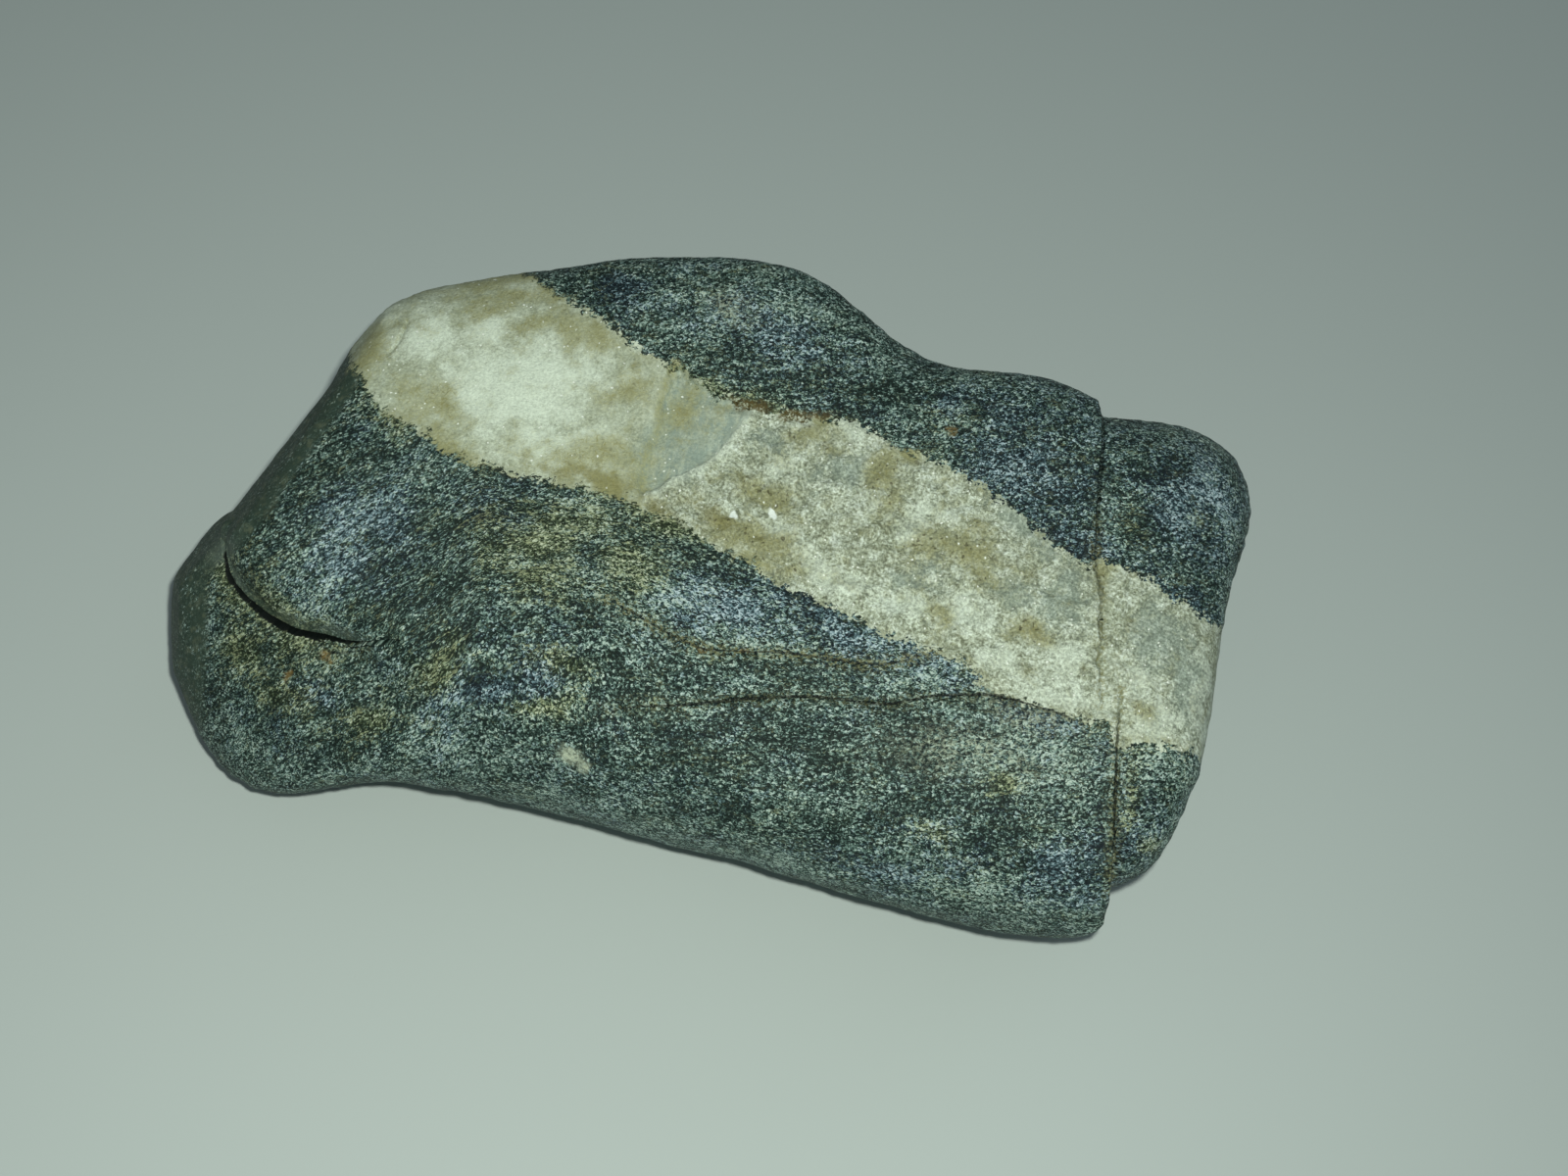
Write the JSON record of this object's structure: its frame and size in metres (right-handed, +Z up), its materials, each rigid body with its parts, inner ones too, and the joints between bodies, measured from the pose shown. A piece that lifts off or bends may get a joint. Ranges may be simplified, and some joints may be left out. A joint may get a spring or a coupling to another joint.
{
  "type": "mudstone",
  "caption": "Hand-sized river-worn mudstone cobble crossed by a slanting white quartz vein, with an overhanging nose at one end and a cracked joint at the other.",
  "frame": {"origin": "on the surface that the stone rests on, under the middle of its box", "axes": "+X along the stone from the overhanging nose to the cracked joint, +Y to its back, +Z up; the broad side with the vein looks up and towards -Y"},
  "size_m": [0.1018, 0.0576, 0.0375],
  "materials": {
    "mudstone": "dull river-worn mudstone, fine grained and speckled blue-grey to green-grey, with a rough white and tan quartz vein across it"
  },
  "bodies": {
    "root": {"mudstone": "mudstone"}
  },
  "joints": []
}
